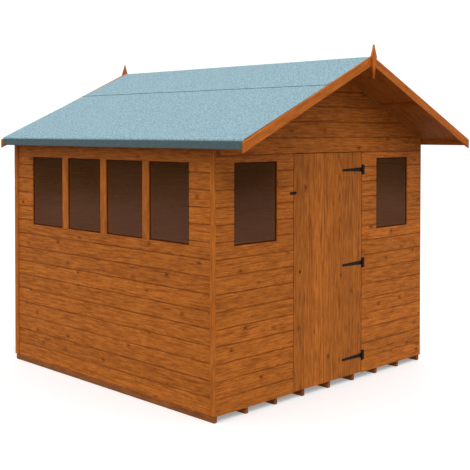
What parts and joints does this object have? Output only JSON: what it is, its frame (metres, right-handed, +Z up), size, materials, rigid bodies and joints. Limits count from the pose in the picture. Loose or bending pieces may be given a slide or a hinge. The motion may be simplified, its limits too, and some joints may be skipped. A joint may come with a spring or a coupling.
{
  "type": "wooden garden shed",
  "caption": "Wooden apex garden shed with a front canopy, felted roof, fixed windows in the front and left side, and an outward opening boarded door.",
  "frame": {"origin": "under the middle of the whole length and width, on the ground plane that the bearers rest on", "axes": "+X to the right along the front, +Y from the door front towards the back, +Z up"},
  "size_m": [2.636, 2.824, 2.5249],
  "materials": {
    "shiplap_wood": "dip-treated softwood, satin",
    "trim_wood": "dip-treated softwood, satin",
    "door_wood": "dip-treated softwood, satin",
    "barge_wood": "dip-treated softwood, satin",
    "roof_wood": "rough sawn softwood",
    "frame_wood": "rough sawn softwood",
    "floor_wood": "planed softwood",
    "bearer_wood": "pressure treated softwood",
    "window_glass": "clear",
    "black_iron": "black, semi-gloss",
    "mineral_felt": "bitumen felt with blue-green mineral grains"
  },
  "bodies": {
    "shed": {"floor_bearers": "bearer_wood", "floor_boards": "floor_wood", "front_wall_left": "shiplap_wood", "front_wall_right": "shiplap_wood", "front_wall_gable": "shiplap_wood", "left_wall_lower": "shiplap_wood", "left_wall_ends": "shiplap_wood", "left_wall_mullions": "trim_wood", "left_wall_header": "shiplap_wood", "right_wall": "shiplap_wood", "back_wall": "shiplap_wood", "corner_trims": "trim_wood", "front_frame": "frame_wood", "left_frame": "frame_wood", "right_frame": "frame_wood", "back_frame": "frame_wood", "front_window_left_glass": "window_glass", "front_window_right_glass": "window_glass", "side_windows_glass": "window_glass", "window_beads": "trim_wood", "door_stops": "frame_wood", "hinge_plates": "black_iron", "hasp_staple": "black_iron", "roof_boards_left": "roof_wood", "roof_boards_right": "roof_wood", "purlins": "roof_wood", "eaves_battens": "roof_wood", "gable_strips": "roof_wood", "felt_left": "mineral_felt", "felt_right": "mineral_felt", "felt_ridge": "mineral_felt", "barge_front_left": "barge_wood", "barge_front_right": "barge_wood", "barge_back_left": "barge_wood", "barge_back_right": "barge_wood", "finial_front": "barge_wood", "finial_back": "barge_wood"},
    "door": {"door_boards": "door_wood", "door_ledges": "frame_wood", "hinge_strap_top": "black_iron", "hinge_strap_middle": "black_iron", "hinge_strap_bottom": "black_iron", "hasp_plate": "black_iron", "keyhole_plate": "black_iron"},
    "hasp": {"hasp_leaf": "black_iron"}
  },
  "joints": [
    {"name": "door_swing", "type": "hinge", "parent": "shed", "child": "door", "pos_m": [0.384, -1.027, 0.9005], "axis": [0, 0, 1], "range_deg": [0, 170]},
    {"name": "hasp_fold", "type": "hinge", "parent": "door", "child": "hasp", "pos_m": [-0.4085, -1.026, 1.473], "axis": [0, 0, 1], "range_deg": [0, 170]}
  ]
}
